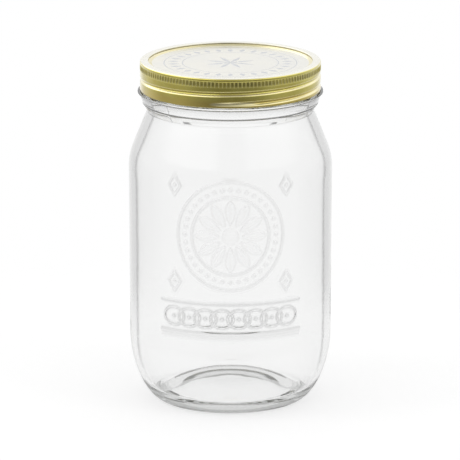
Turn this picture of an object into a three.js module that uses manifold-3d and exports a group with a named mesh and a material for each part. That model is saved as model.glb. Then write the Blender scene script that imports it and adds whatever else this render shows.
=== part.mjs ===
// A clear glass preserving jar with a screw closure: a sealing disc held down by a threaded metal band.
// Millimetres, +Z up. The jar stands on the XY plane with its axis on Z, and its front faces -Y.
// Angles round the axis are in degrees, from 0 at the front, growing to the right and on round the back.

import * as THREE from 'three';
import { mergeGeometries, mergeVertices } from 'three/addons/utils/BufferGeometryUtils.js';
import Module from 'manifold-3d';

const wasm = await Module();
wasm.setup();

// Glass jar, overall
const jarHeight = 167.6; // from the table to the rim that the closure seals on
const bodyDiameter = 100; // at the top of the body, where it is widest
const bodyDraft = 0.5; // the body's radius shrinks by this much down to the heel
const wallThickness = 3.2; // body and shoulder

// Glass jar, base
const footDiameter = 67; // outer edge of the flat ring that the jar stands on
const footWidth = 3.5;
const puntHeight = 6.5; // hollow pushed up under the middle of the base
const floorThickness = 5; // glass between the hollow and the middle of the inside floor
const floorDip = 5.5; // from the middle of the floor down to the valley round it
const domeFlatness = 5; // the higher, the wider the flat middle of the hollow and of the floor
const heelHeight = 32.7; // where the rounded heel ends and the straight body begins
const heelFullness = 1.75; // superellipse power of the heel outside; 2 is a plain ellipse
const innerHeelFullness = 1.8;
const innerHeelReach = 10.3; // from the upright inside wall in to the valley round the floor

// Glass jar, shoulder, neck ring and bead
const shoulderAngle = 22.2; // from upright
const shoulderRadius = 28; // rounding between body and shoulder
const neckDiameter = 86; // at the lower edge of the neck ring
const neckFlare = 1.6; // the ring's radius grows by this much up to the bead
const neckHeight = 8.8; // from the bead down to the pinch where the shoulder begins
const neckChamfer = 3.8; // height of the slope under the neck ring
const neckPinch = 2.2; // how far the pinch lies inside the ring's lower edge
const beadRadius = 0.5; // the bead's half-round section
const beadProjection = 1.2; // past the band, so that the glass takes a knock before the metal
const finishHeight = 12.4; // from the bead up to the rim
const finishWall = 3.6; // glass between the mouth and the foot of the thread
const lipRadius = 1; // rounding of the rim's two edges

// Screw band
const bandDiameter = 88.8;
const bandSheet = 0.4;
const bandCornerRadius = 0.8; // between skirt and flange
const flangeWidth = 4.1; // from the outside to the flange's inner edge
const hemThickness = 0.65; // lower edge, folded back inside
const hemHeight = 0.8;
const knurlDrop = 1.3; // from the band's top to the knurl
const knurlHeight = 3.3;
const knurlRibs = 148;
const knurlDepth = 0.22;
const knurlNotchWidth = 0.9;

// Sealing disc and ring
const discSheet = 0.3;
const discEdgeDrop = 1.4; // how far the turned-down edge reaches below the rim of the disc
const panelDepth = 0.7; // recess of the panel below the rim of the disc
const panelStepInset = 1; // from the band's flange to the top of the step
const panelStepRun = 0.8; // width of the sloping step
const ringThickness = 1;
const ringInset = 0.3; // from the step to the ring's inner edge
const ringRound = 0.25; // softened lower edges of the ring

// Thread of band and glass
const threadPitch = 5;
const threadDepth = 1.15; // how far the band's thread is rolled in
const bandThreadWidth = 2.8;
const glassThreadWidth = 3.2;
const threadStartRise = 1.9; // from the band's lower edge to the first turn, at the front
const threadStartAngle = -15; // where the band's thread begins
const threadRunout = 35; // each end of a thread fades over this angle

// Clearances
const threadClearance = 0.6; // crest to root
const flankClearance = 0.3; // along the axis, between the flanks that pull the band down
const seatGap = 0.3; // between stacked pieces that can part
const bondGap = 0.1; // between the disc and the ring bonded to it
const discClearance = 0.35; // between the disc's edge and the glass

// Fineness of the faceted surfaces
const glassFacets = 48;
const discFacets = 48;
const bandFacets = knurlRibs / 2; // two ribs to a facet
const threadRowSpacing = 0.75;

const TURN = 360;

// Radii that band, disc and glass share
const bandRadius = bandDiameter / 2;
const bandBore = bandRadius - bandSheet;
const flangeRadius = bandRadius - flangeWidth;
const finishCrest = bandBore - threadClearance;
const finishRadius = finishCrest - threadDepth;
const boreRadius = finishRadius - finishWall;
const discEdgeBore = finishRadius + discClearance;
const panelStepRadius = flangeRadius - panelStepInset;

// Heights of the stacked pieces, from the bead up
const beadTop = jarHeight - finishHeight;
const skirtBottom = beadTop + seatGap;
const ringBottom = jarHeight + seatGap;
const ringTop = ringBottom + ringThickness;
const discRimBottom = ringTop + bondGap;
const discRimTop = discRimBottom + discSheet;
const flangeBottom = discRimTop + seatGap;
const bandTop = flangeBottom + bandSheet;
const knurlBottom = bandTop - knurlDrop - knurlHeight;

// Threads: each is a helical ridge that climbs one pitch a turn, and both belong to the same screw.
// At the depth where the two crests pass, a ridge reaches about a sixth of its width to each side.
const bandThreadZ = skirtBottom + threadStartRise;
const flankOffset = (bandThreadWidth + glassThreadWidth) / 6 + flankClearance;
const glassThreadZ = bandThreadZ + flankOffset;

const bandThread = {
  zAtFront: bandThreadZ,
  width: bandThreadWidth,
  rise: -threadDepth,
  start: threadStartAngle,
  end: angleAtHeight(bandThreadZ, knurlBottom - bandThreadWidth / 2),
};

const glassThread = {
  zAtFront: glassThreadZ,
  width: glassThreadWidth,
  rise: finishCrest - finishRadius,
  start: angleAtHeight(glassThreadZ, beadTop + glassThreadWidth / 2),
  end: angleAtHeight(glassThreadZ, jarHeight - lipRadius - glassThreadWidth / 2),
};

function angleAtHeight(zAtFront, z) {
  return ((z - zAtFront) / threadPitch) * TURN;
}

function point(radius, z) {
  return new THREE.Vector2(radius, z);
}

// Elliptical arc in a profile; 0 degrees points away from the axis and 90 degrees points up.
function arc(centreRadius, centreZ, reach, height, from, to, steps) {
  const points = [];
  for (let i = 0; i <= steps; i++) {
    const angle = THREE.MathUtils.degToRad(from + ((to - from) * i) / steps);
    points.push(point(centreRadius + reach * Math.cos(angle), centreZ + height * Math.sin(angle)));
  }
  return points;
}

// Rounded heel from a flat floor up into an upright wall, as a quarter of a superellipse.
function heelCurve(floorRadius, floorZ, wallRadius, wallZ, fullness, steps) {
  const points = [];
  for (let i = 0; i <= steps; i++) {
    const angle = ((Math.PI / 2) * i) / steps;
    const out = Math.sin(angle) ** (2 / fullness);
    const up = 1 - Math.cos(angle) ** (2 / fullness);
    points.push(point(floorRadius + (wallRadius - floorRadius) * out, floorZ + (wallZ - floorZ) * up));
  }
  return points;
}

// Soft dome from its middle, nearly flat there, down to its edge.
function domeCurve(edgeRadius, edgeZ, rise, steps) {
  const points = [];
  for (let i = 0; i <= steps; i++) {
    const share = Math.sin(((Math.PI / 2) * i) / steps);
    points.push(point(edgeRadius * share, edgeZ + rise * (1 - share ** domeFlatness) ** 2));
  }
  return points;
}

// Rounding between an upright wall below and a shoulder that leans in to pass through a given point.
function shoulderCurve(wallRadius, passRadius, passZ, rounding, steps) {
  const lean = THREE.MathUtils.degToRad(shoulderAngle);
  const kneeZ = passZ - (wallRadius - passRadius) / Math.tan(lean);
  const startZ = kneeZ - rounding * Math.tan(lean / 2);
  return arc(wallRadius - rounding, startZ, rounding, rounding, 0, shoulderAngle, steps);
}

// Even steps up a threaded wall, fine enough to carry the ridge.
function threadRows(radius, fromZ, toZ) {
  const steps = Math.ceil(Math.abs(toZ - fromZ) / threadRowSpacing);
  const points = [];
  for (let i = 0; i <= steps; i++) {
    points.push(point(radius, fromZ + ((toZ - fromZ) * i) / steps));
  }
  return points;
}

// Share of the ridge's full height, from 0 to 1, at an angle and a height.
function ridge(thread, angle, z) {
  const firstTurn = Math.floor((thread.start - TURN) / TURN);
  const lastTurn = Math.ceil((thread.end + TURN) / TURN);
  let height = 0;
  for (let turn = firstTurn; turn <= lastTurn; turn++) {
    const along = angle + turn * TURN;
    const offset = z - thread.zAtFront - (threadPitch * along) / TURN;
    const fadeIn = THREE.MathUtils.clamp((along - thread.start) / threadRunout, 0, 1);
    const fadeOut = THREE.MathUtils.clamp((thread.end - along) / threadRunout, 0, 1);
    if (Math.abs(offset) < thread.width / 2) {
      const crest = Math.cos((Math.PI * offset) / thread.width) ** 2;
      height = Math.max(height, crest * fadeIn * fadeOut);
    }
  }
  return height;
}

// Turns a profile of radius and height round the Z axis.
function turned(profile, facets) {
  const geometry = new THREE.LatheGeometry(profile, facets);
  geometry.rotateX(Math.PI / 2);
  return geometry;
}

// Moves the walls that lie between two radii in or out along a thread.
function rollThread(geometry, thread, innerRadius, outerRadius) {
  const position = geometry.attributes.position;
  const place = new THREE.Vector3();
  const slack = 0.001;
  for (let i = 0; i < position.count; i++) {
    place.fromBufferAttribute(position, i);
    const radius = Math.hypot(place.x, place.y);
    if (radius > innerRadius - slack && radius < outerRadius + slack) {
      const angle = THREE.MathUtils.radToDeg(Math.atan2(place.x, -place.y));
      const scale = (radius + thread.rise * ridge(thread, angle, place.z)) / radius;
      position.setXY(i, place.x * scale, place.y * scale);
    }
  }
  geometry.computeVertexNormals();
  return geometry;
}

function toSolid(geometry) {
  const bare = geometry.clone();
  bare.deleteAttribute('normal');
  bare.deleteAttribute('uv');
  const welded = mergeVertices(bare);
  const vertProperties = Float32Array.from(welded.attributes.position.array);
  const triVerts = Uint32Array.from(welded.index.array);
  return new wasm.Manifold(new wasm.Mesh({ numProp: 3, vertProperties, triVerts }));
}

function toGeometry(solid) {
  const mesh = solid.getMesh();
  const geometry = new THREE.BufferGeometry();
  geometry.setAttribute('position', new THREE.BufferAttribute(mesh.vertProperties, mesh.numProp));
  geometry.setIndex(new THREE.BufferAttribute(mesh.triVerts, 1));
  geometry.computeVertexNormals();
  return geometry;
}

// The jar: one closed profile from the middle of the base, up the outside, over the rim and down the inside.
function glassJarGeometry() {
  const bodyRadius = bodyDiameter / 2;
  const footRadius = footDiameter / 2;
  const neckRadius = neckDiameter / 2;
  const beadZ = beadTop - beadRadius;
  const beadCentre = bandRadius + beadProjection - beadRadius;
  const pinchZ = beadZ - beadRadius - neckHeight;
  const pinchRadius = neckRadius - neckPinch;
  const lean = THREE.MathUtils.degToRad(shoulderAngle);
  const throatRadius = pinchRadius - wallThickness / Math.cos(lean);
  const innerRadius = bodyRadius - bodyDraft - wallThickness;
  const valleyRadius = innerRadius - innerHeelReach;
  const valleyZ = puntHeight + floorThickness - floorDip;
  const lipZ = jarHeight - lipRadius;

  const base = [
    ...domeCurve(footRadius - footWidth, 0, puntHeight, 6),
    ...heelCurve(footRadius, 0, bodyRadius - bodyDraft, heelHeight, heelFullness, 8),
  ];
  const neck = [
    ...shoulderCurve(bodyRadius, pinchRadius, pinchZ, shoulderRadius, 4),
    point(pinchRadius, pinchZ),
    point(neckRadius, pinchZ + neckChamfer),
    point(neckRadius + neckFlare, beadZ - beadRadius),
  ];
  const bead = arc(beadCentre, beadZ, beadRadius, beadRadius, -60, 90, 6);
  const finish = threadRows(finishRadius, beadTop, lipZ);
  const lip = [
    ...arc(finishRadius - lipRadius, lipZ, lipRadius, lipRadius, 30, 90, 2),
    ...arc(boreRadius + lipRadius, lipZ, lipRadius, lipRadius, 90, 180, 3),
  ];
  const inside = [
    point(boreRadius, pinchZ + neckHeight),
    point(throatRadius, pinchZ),
    ...shoulderCurve(bodyRadius - wallThickness, throatRadius, pinchZ, shoulderRadius - wallThickness, 4).reverse(),
    ...heelCurve(valleyRadius, valleyZ, innerRadius, heelHeight, innerHeelFullness, 7).reverse(),
    ...domeCurve(valleyRadius, valleyZ, floorDip, 6).reverse().slice(1),
  ];
  const geometry = turned([...base, ...neck, ...bead, ...finish, ...lip, ...inside], glassFacets);
  return rollThread(geometry, glassThread, finishRadius, finishRadius);
}

// The disc: a flat rim over the glass, a turned-down edge, and a panel one step lower.
function lidDiscGeometry() {
  const panelRadius = panelStepRadius - panelStepRun;
  const panelBottom = discRimBottom - panelDepth;
  const edgeRadius = discEdgeBore + discSheet;
  const edgeBottom = discRimBottom - discEdgeDrop;
  const profile = [
    point(0, panelBottom),
    point(panelRadius, panelBottom),
    point(panelStepRadius, discRimBottom),
    point(discEdgeBore, discRimBottom),
    point(discEdgeBore, edgeBottom),
    point(edgeRadius, edgeBottom),
    ...arc(discEdgeBore, discRimBottom, discSheet, discSheet, 0, 90, 3),
    point(panelStepRadius, discRimTop),
    point(panelRadius, panelBottom + discSheet),
    point(0, panelBottom + discSheet),
  ];
  return turned(profile, discFacets);
}

// The ring of sealing compound under the disc's rim.
function sealingRingGeometry() {
  const inner = panelStepRadius + ringInset;
  const outer = discEdgeBore - bondGap;
  const roundZ = ringBottom + ringRound;
  const start = point(inner, ringTop);
  const profile = [
    start,
    ...arc(inner + ringRound, roundZ, ringRound, ringRound, 180, 270, 2),
    ...arc(outer - ringRound, roundZ, ringRound, ringRound, 270, 360, 2),
    point(outer, ringTop),
    start.clone(),
  ];
  return turned(profile, discFacets);
}

// Small upright notches that leave the ribs of the knurl between them.
function knurlNotches() {
  const outside = bandRadius + knurlDepth;
  const outline = new THREE.Shape([
    point(-knurlNotchWidth / 2, -outside),
    point(knurlNotchWidth / 2, -outside),
    point(0, -(bandRadius - knurlDepth)),
  ]);
  const notches = [];
  for (let rib = 0; rib < knurlRibs; rib++) {
    const notch = new THREE.ExtrudeGeometry(outline, { depth: knurlHeight, bevelEnabled: false });
    notch.translate(0, 0, knurlBottom);
    notch.rotateZ(((rib + 0.5) / knurlRibs) * 2 * Math.PI);
    notches.push(notch);
  }
  return mergeGeometries(notches);
}

// The band: a sheet metal skirt with a folded hem, a rolled thread, a knurl and a flange over the disc.
function screwBandGeometry() {
  const cornerZ = bandTop - bandCornerRadius;
  const cornerCentre = bandRadius - bandCornerRadius;
  const innerCorner = bandCornerRadius - bandSheet;
  const hemTop = skirtBottom + hemHeight;
  const hemBore = bandRadius - hemThickness;
  const hemRound = hemThickness / 2;
  const start = point(hemBore, hemTop - hemRound);
  const profile = [
    start,
    ...arc(bandRadius - hemRound, skirtBottom + hemRound, hemRound, hemRound, 180, 360, 4),
    ...threadRows(bandRadius, hemTop, knurlBottom),
    ...arc(cornerCentre, cornerZ, bandCornerRadius, bandCornerRadius, 0, 90, 3),
    point(flangeRadius, bandTop),
    point(flangeRadius, flangeBottom),
    ...arc(cornerCentre, cornerZ, innerCorner, innerCorner, 90, 0, 2),
    ...threadRows(bandBore, knurlBottom, hemTop),
    start.clone(),
  ];
  const skirt = rollThread(turned(profile, bandFacets), bandThread, bandBore, bandRadius);
  return toGeometry(toSolid(skirt).subtract(toSolid(knurlNotches())));
}

function metal(color, roughness) {
  return new THREE.MeshStandardMaterial({ color, roughness, metalness: 1 });
}

function named(name, geometry, material) {
  const mesh = new THREE.Mesh(geometry, material);
  mesh.name = name;
  return mesh;
}

const clearGlass = new THREE.MeshStandardMaterial({
  color: 0xe9eeec,
  roughness: 0.05,
  metalness: 0,
  transparent: true,
  opacity: 0.35,
});
const sealingCompound = new THREE.MeshStandardMaterial({ color: 0xd9cfb8, roughness: 0.7, metalness: 0 });

const preservingJar = new THREE.Group();
preservingJar.add(
  named('glass_jar', glassJarGeometry(), clearGlass),
  named('lid_disc', lidDiscGeometry(), metal(0xcdbf83, 0.3)),
  named('sealing_ring', sealingRingGeometry(), sealingCompound),
  named('screw_band', screwBandGeometry(), metal(0xb9a54e, 0.3)),
);

export default preservingJar;
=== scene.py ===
"""Looks of the preserving jar: clear glass, a lacquered disc, its sealing ring and a gold screw band.

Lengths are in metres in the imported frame, with +Z up the jar's axis and the front towards -Y.
Angles round the axis run from 0 at the front, growing to the right and on round the back.
"""

import logging
import math
from collections.abc import Mapping
from dataclasses import dataclass, field
from enum import Enum

import bpy
import numpy as np
from bpy.types import Material, Mesh, Node, NodeSocket, NodeTree
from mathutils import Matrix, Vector


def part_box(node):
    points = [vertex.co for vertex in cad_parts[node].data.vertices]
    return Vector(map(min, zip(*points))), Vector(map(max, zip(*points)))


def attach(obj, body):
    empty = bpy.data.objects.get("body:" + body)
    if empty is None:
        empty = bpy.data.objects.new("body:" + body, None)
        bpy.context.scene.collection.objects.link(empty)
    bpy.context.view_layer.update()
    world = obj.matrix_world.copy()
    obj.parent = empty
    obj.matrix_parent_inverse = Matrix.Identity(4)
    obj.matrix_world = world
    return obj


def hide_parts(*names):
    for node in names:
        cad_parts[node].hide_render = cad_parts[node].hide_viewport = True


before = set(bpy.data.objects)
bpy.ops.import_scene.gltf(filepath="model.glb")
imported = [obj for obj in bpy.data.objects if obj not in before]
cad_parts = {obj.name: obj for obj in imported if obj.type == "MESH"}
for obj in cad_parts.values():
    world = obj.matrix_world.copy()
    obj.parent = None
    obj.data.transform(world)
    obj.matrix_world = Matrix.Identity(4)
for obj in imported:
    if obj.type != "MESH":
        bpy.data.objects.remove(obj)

LOG = logging.getLogger("preserving_jar")
MM = 0.001
TURN = 2 * math.pi
TINY = 1e-6
INSIDE, FLANK_SHADE = "inside", "flank"
ARC_POINTS, HEEL_POINTS, DOME_POINTS = 33, 65, 49
SMOOTH = {"interpolation_type": "SMOOTHSTEP"}
WHITE = (1.0, 1.0, 1.0, 1.0)

Colour = tuple[float, float, float, float]
Pair = tuple[float, float]


class Body(Enum):
    """The bodies that a piece can ride on."""

    JAR = "jar"
    LID = "lid"
    BAND = "band"


class Slot(Enum):
    """The record's material slots."""

    GLASS = "clear_glass"
    DISC = "lacquered_disc"
    SEAL = "sealing_compound"
    GOLD = "gold_lacquer"


class Field:
    """A value in a node tree on which Python arithmetic adds Math nodes."""

    def __init__(self, graph: "Graph", socket: NodeSocket) -> None:
        """Keeps the socket and the graph that it belongs to."""
        self.graph = graph
        self.socket = socket

    def __add__(self, other: "Field | float") -> "Field":
        """Returns the sum."""
        return self.graph.math("ADD", self, other)

    def __radd__(self, other: float) -> "Field":
        """Returns the sum, for a number on the left."""
        return self.graph.math("ADD", other, self)

    def __sub__(self, other: "Field | float") -> "Field":
        """Returns the difference."""
        return self.graph.math("SUBTRACT", self, other)

    def __rsub__(self, other: float) -> "Field":
        """Returns the difference, for a number on the left."""
        return self.graph.math("SUBTRACT", other, self)

    def __mul__(self, other: "Field | float") -> "Field":
        """Returns the product."""
        return self.graph.math("MULTIPLY", self, other)

    def __rmul__(self, other: float) -> "Field":
        """Returns the product, for a number on the left."""
        return self.graph.math("MULTIPLY", other, self)

    def __truediv__(self, other: "Field | float") -> "Field":
        """Returns the quotient."""
        return self.graph.math("DIVIDE", self, other)

    def __abs__(self) -> "Field":
        """Returns the value without its sign."""
        return self.graph.math("ABSOLUTE", self)

    def sign(self) -> "Field":
        """Returns -1, 0 or 1."""
        return self.graph.math("SIGN", self)

    def root(self) -> "Field":
        """Returns the square root."""
        return self.graph.math("SQRT", self)

    def most(self, other: "Field | float") -> "Field":
        """Returns the larger of two values."""
        return self.graph.math("MAXIMUM", self, other)

    def repeat(self, count: float) -> "Field":
        """Returns the place in one of count equal cells of a turn, from -0.5 to 0.5."""
        return self.graph.math("FRACT", self * (count / TURN) + count) - 0.5

    def rise(self, low: float, high: float) -> "Field":
        """Returns a smooth step from 0 at low to 1 at high."""
        inputs = {"Value": self, "From Min": low, "From Max": high}
        return Field(self.graph, self.graph.node("ShaderNodeMapRange", SMOOTH, inputs).outputs[0])

    def fall(self, low: float, high: float) -> "Field":
        """Returns a smooth step from 1 at low to 0 at high."""
        return 1 - self.rise(low, high)

    def span(self, low: float, high: float) -> "Field":
        """Returns low where the value is 0 and high where it is 1."""
        return low + (high - low) * self


class Graph:
    """Adds the nodes of one tree."""

    def __init__(self, tree: NodeTree) -> None:
        """Empties the tree."""
        self.tree = tree
        tree.nodes.clear()

    def node(
        self,
        kind: str,
        settings: Mapping[str, object] | None = None,
        inputs: Mapping[str | int, object] | None = None,
    ) -> Node:
        """Adds a node.

        Args:
            kind: The node's type.
            settings: Its own settings, which are set first.
            inputs: Numbers, fields or sockets for its inputs, by name or place.

        Returns:
            The new node.
        """
        made = self.tree.nodes.new(kind)
        for name, value in (settings or {}).items():
            setattr(made, name, value)
        for key, value in (inputs or {}).items():
            source = value.socket if isinstance(value, Field) else value
            if isinstance(source, NodeSocket):
                self.tree.links.new(source, made.inputs[key])
            else:
                made.inputs[key].default_value = source
        return made

    def math(self, operation: str, *values: Field | float) -> Field:
        """Returns the result of a Math node with one or two inputs."""
        made = self.node("ShaderNodeMath", {"operation": operation}, dict(enumerate(values)))
        return Field(self, made.outputs[0])

    def place(self) -> NodeSocket:
        """Returns the Object coordinates, in metres."""
        return self.node("ShaderNodeTexCoord").outputs["Object"]

    def attribute(self, name: str) -> Field:
        """Returns an attribute of the mesh."""
        return Field(self, self.node("ShaderNodeAttribute", {"attribute_name": name}).outputs["Fac"])

    def axes(self, vector: NodeSocket) -> tuple[Field, Field, Field]:
        """Returns the three parts of a vector."""
        parts = self.node("ShaderNodeSeparateXYZ", inputs={0: vector}).outputs
        return Field(self, parts[0]), Field(self, parts[1]), Field(self, parts[2])

    def radius(self, vector: NodeSocket) -> Field:
        """Returns a place's distance from the jar's axis."""
        x, y, _ = self.axes(vector)
        return (x * x + y * y).root()

    def vector(self, x: Field | float, y: Field | float, z: Field | float) -> NodeSocket:
        """Returns a vector made of three parts."""
        return self.node("ShaderNodeCombineXYZ", inputs={0: x, 1: y, 2: z}).outputs[0]

    def noise(self, vector: NodeSocket, size: float, detail: float) -> Field:
        """Returns a noise about 0.5, with patches of a size in metres and octaves of finer detail."""
        inputs = {"Vector": vector, "Scale": 1 / size, "Detail": detail}
        return Field(self, self.node("ShaderNodeTexNoise", inputs=inputs).outputs[0])

    def mix(self, factor: Field, low: object, high: object) -> NodeSocket:
        """Returns a colour between two colours or colour sockets."""
        inputs = {0: factor, 6: low, 7: high}
        return self.node("ShaderNodeMix", {"data_type": "RGBA"}, inputs).outputs[2]

    def bump(self, height: Field, distance: float) -> NodeSocket:
        """Returns a normal bumped by a height field that is distance deep."""
        inputs = {"Strength": 1.0, "Distance": distance, "Height": height}
        return self.node("ShaderNodeBump", inputs=inputs).outputs[0]


def material(name: str) -> tuple[Material, Graph]:
    """Makes an empty material.

    Args:
        name: Its name.

    Returns:
        The material and the graph of its nodes.
    """
    made = bpy.data.materials.new(name)
    made.use_nodes = True
    return made, Graph(made.node_tree)


def principled(graph: Graph, inputs: Mapping[str, object], volume: NodeSocket | None = None) -> None:
    """Ends a material in a Principled shader.

    Args:
        graph: The material's graph.
        inputs: Values and links of the shader.
        volume: What fills the piece, if anything.
    """
    shader = graph.node("ShaderNodeBsdfPrincipled", inputs=inputs)
    ends = {"Surface": shader.outputs[0]}
    if volume is not None:
        ends["Volume"] = volume
    graph.node("ShaderNodeOutputMaterial", inputs=ends)


@dataclass(frozen=True)
class ClearGlass:
    """Moulded flint glass: clear, faintly grey through its thickness, with shade painted grey along the
    neck's lines, on the ornament's slopes and where its inside is seen edge-on.
    """

    tint: Colour = (0.992, 0.993, 0.992, 1.0)
    index: float = 1.52
    shade: Colour = (0.80, 0.805, 0.80, 1.0)
    density: float = 22.0
    wave_size: float = 16 * MM
    wave_depth: float = 0.05 * MM
    grain_size: float = 2.4 * MM
    grain_share: float = 0.06
    smear_size: float = 22 * MM
    smear: Pair = (0.55, 0.8)
    roughness: Pair = (0.004, 0.016)
    # Painted shade: the dark grey painted along the neck's parting line and crease and the soft band between
    # them.
    painted_line_shade: Colour = (0.12, 0.12, 0.12, 1.0)
    # Painted shade: the grey painted where the inside wall is seen edge-on and on the ornament's slopes,
    # standing in for the dark that refraction gives there.
    painted_edge_shade: Colour = (0.25, 0.25, 0.25, 1.0)
    skim: Pair = (0.74, 0.84)
    skim_height: Pair = (8 * MM, 22 * MM)
    neck_radius: Pair = (41.5 * MM, 42.0 * MM)
    neck_shade: float = 0.33
    shade_above_parting: float = 1 * MM
    shade_past_crease: Pair = (-0.1 * MM, 0.2 * MM)
    parting_half: Pair = (0.3 * MM, 0.6 * MM)
    crease_half: Pair = (0.2 * MM, 0.5 * MM)
    crease_drop: float = 0.15 * MM

    def make(self, parting: float, crease: float) -> Material:
        """Makes the material.

        Args:
            parting: Height of the mould parting line, along which shade is painted dark.
            crease: Height of the crease under the bead, along which shade is painted dark too.

        Returns:
            The material.
        """
        made, graph = material("clear_glass")
        place = graph.place()
        z = graph.axes(place)[2]
        neck = graph.radius(place).rise(*self.neck_radius)
        # Painted shade on the neck ring: a dark line at the mould parting line, a dark line under the bead
        # and a softer grey band between them, standing in for refraction's shade.
        line = abs(z - parting).fall(*self.parting_half)
        under = abs(z - crease + self.crease_drop).fall(*self.crease_half)
        full, gone = self.shade_past_crease
        soft = z.rise(parting + self.shade_above_parting, crease) * z.fall(crease + full, crease + gone)
        dark = neck * line.most(under).most(self.neck_shade * soft)
        # Painted shade: the inside wall grows grey where it is seen edge-on, and the ornament's slopes are
        # grey, by the marked attributes.
        inside, flank = graph.attribute(INSIDE), graph.attribute(FLANK_SHADE)
        facing = Field(graph, graph.node("ShaderNodeLayerWeight", inputs={"Blend": 0.5}).outputs["Facing"])
        edge = (inside * facing.rise(*self.skim) * z.rise(*self.skim_height)).most(flank)
        grain = graph.noise(place, self.grain_size, 1.0)
        wave = graph.noise(place, self.wave_size, 1.0) + self.grain_share * grain
        smear = graph.noise(place, self.smear_size, 4.0).rise(*self.smear)
        inputs = {
            "Base Color": graph.mix(dark, graph.mix(edge, self.tint, self.painted_edge_shade), self.painted_line_shade),
            "Roughness": smear.span(*self.roughness),
            "IOR": self.index,
            "Transmission Weight": 1.0,
            "Normal": graph.bump(wave, self.wave_depth),
        }
        fill = graph.node("ShaderNodeVolumeAbsorption", inputs={"Color": self.shade, "Density": self.density})
        principled(graph, inputs, fill.outputs[0])
        return made


@dataclass(frozen=True)
class GoldLacquer:
    """Tinplate under clear gold lacquer: thin and pale on the flange, with shade painted dark between the
    knurl's ribs; its thread's flanks are paler, partly thin drawn lacquer and partly painted highlight.
    """

    deep: Colour = (0.62, 0.52, 0.07, 1.0)
    warm: Colour = (0.66, 0.50, 0.10, 1.0)
    # Paler lacquer on the thread's flanks: partly lacquer drawn thin, partly a painted highlight that makes
    # their highlights read cream.
    drawn: Colour = (0.82, 0.74, 0.40, 1.0)
    bright: Colour = (0.76, 0.68, 0.14, 1.0)
    # Paler colour on the knurl's crests.
    crest_colour: Colour = (0.84, 0.76, 0.32, 1.0)
    pale: Colour = (0.80, 0.79, 0.74, 1.0)
    # Painted shade in the recesses between the knurl's ribs.
    recess_shade: Colour = (0.26, 0.21, 0.03, 1.0)
    patch_size: float = 14 * MM
    patches: Pair = (0.3, 0.7)
    recess_shade_patches: Pair = (0.35, 0.65)
    recess_shade_cover: Pair = (0.1, 0.75)
    warm_cover: Pair = (0.5, 1.0)
    pale_cover: Pair = (0.75, 0.95)
    roughness: Pair = (0.17, 0.23)
    line_roughness: float = 0.05
    peel_size: float = 0.9 * MM
    peel_depth: float = 0.006 * MM
    line_size: float = 0.25 * MM
    line_stretch: float = 0.02
    line_share: float = 0.5
    flange: Pair = (43.8 * MM, 44.25 * MM)
    flange_height: Pair = (169.1 * MM, 169.4 * MM)
    knurl: Pair = (165.4 * MM, 168.7 * MM)
    knurl_edge: float = 0.3 * MM
    knurl_floor: Pair = (44.14 * MM, 44.24 * MM)
    knurl_crest: Pair = (44.24 * MM, 44.36 * MM)
    flank: Pair = (43.5 * MM, 44.2 * MM)
    flank_edge: float = 0.15 * MM
    hem: Pair = (157.5 * MM, 160.5 * MM)

    def make(self) -> Material:
        """Makes the material.

        Returns:
            The material.
        """
        made, graph = material("gold_lacquer")
        place = graph.place()
        x, _, z = graph.axes(place)
        radius = graph.radius(place)
        patch = graph.noise(place, self.patch_size, 3.0)
        turned = graph.noise(graph.vector(radius, z, x * self.line_stretch), self.line_size, 1.0)
        low, high = self.knurl
        grip = z.rise(low, low + self.knurl_edge) * z.fall(high - self.knurl_edge, high)
        between = radius.fall(*self.knurl_floor) * grip
        crest = radius.rise(*self.knurl_crest) * grip
        thin = radius.fall(*self.flange) * z.rise(*self.flange_height)
        root, crown = self.flank
        sloped = radius.rise(root - self.flank_edge, root) * radius.fall(crown, crown + self.flank_edge)
        flank = sloped * z.fall(low - self.knurl_edge, low)
        plain = graph.mix(patch.rise(*self.patches), self.deep, self.bright)
        tinted = graph.mix(z.fall(*self.hem) * patch.span(*self.warm_cover), plain, self.warm)
        # The thread's flanks take the paler colour, partly drawn lacquer and partly painted highlight; the
        # knurl's crests take a paler colour too.
        lacquer = graph.mix(crest, graph.mix(flank, tinted, self.drawn), self.crest_colour)
        # Painted shade: the recesses between the knurl's ribs are painted dark, more in some patches than
        # others.
        painted_recess_shade = between * patch.rise(*self.recess_shade_patches).span(*self.recess_shade_cover)
        shaded = graph.mix(painted_recess_shade, lacquer, self.recess_shade)
        peel = graph.noise(place, self.peel_size, 2.0)
        inputs = {
            "Base Color": graph.mix(thin * patch.span(*self.pale_cover), shaded, self.pale),
            "Metallic": 1.0,
            "Roughness": patch.span(*self.roughness) + self.line_roughness * turned,
            "Coat Weight": 1.0,
            "Coat Roughness": 0.06,
            "Coat IOR": 1.7,
            "Normal": graph.bump(peel + self.line_share * turned, self.peel_depth),
        }
        principled(graph, inputs)
        return made


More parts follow.
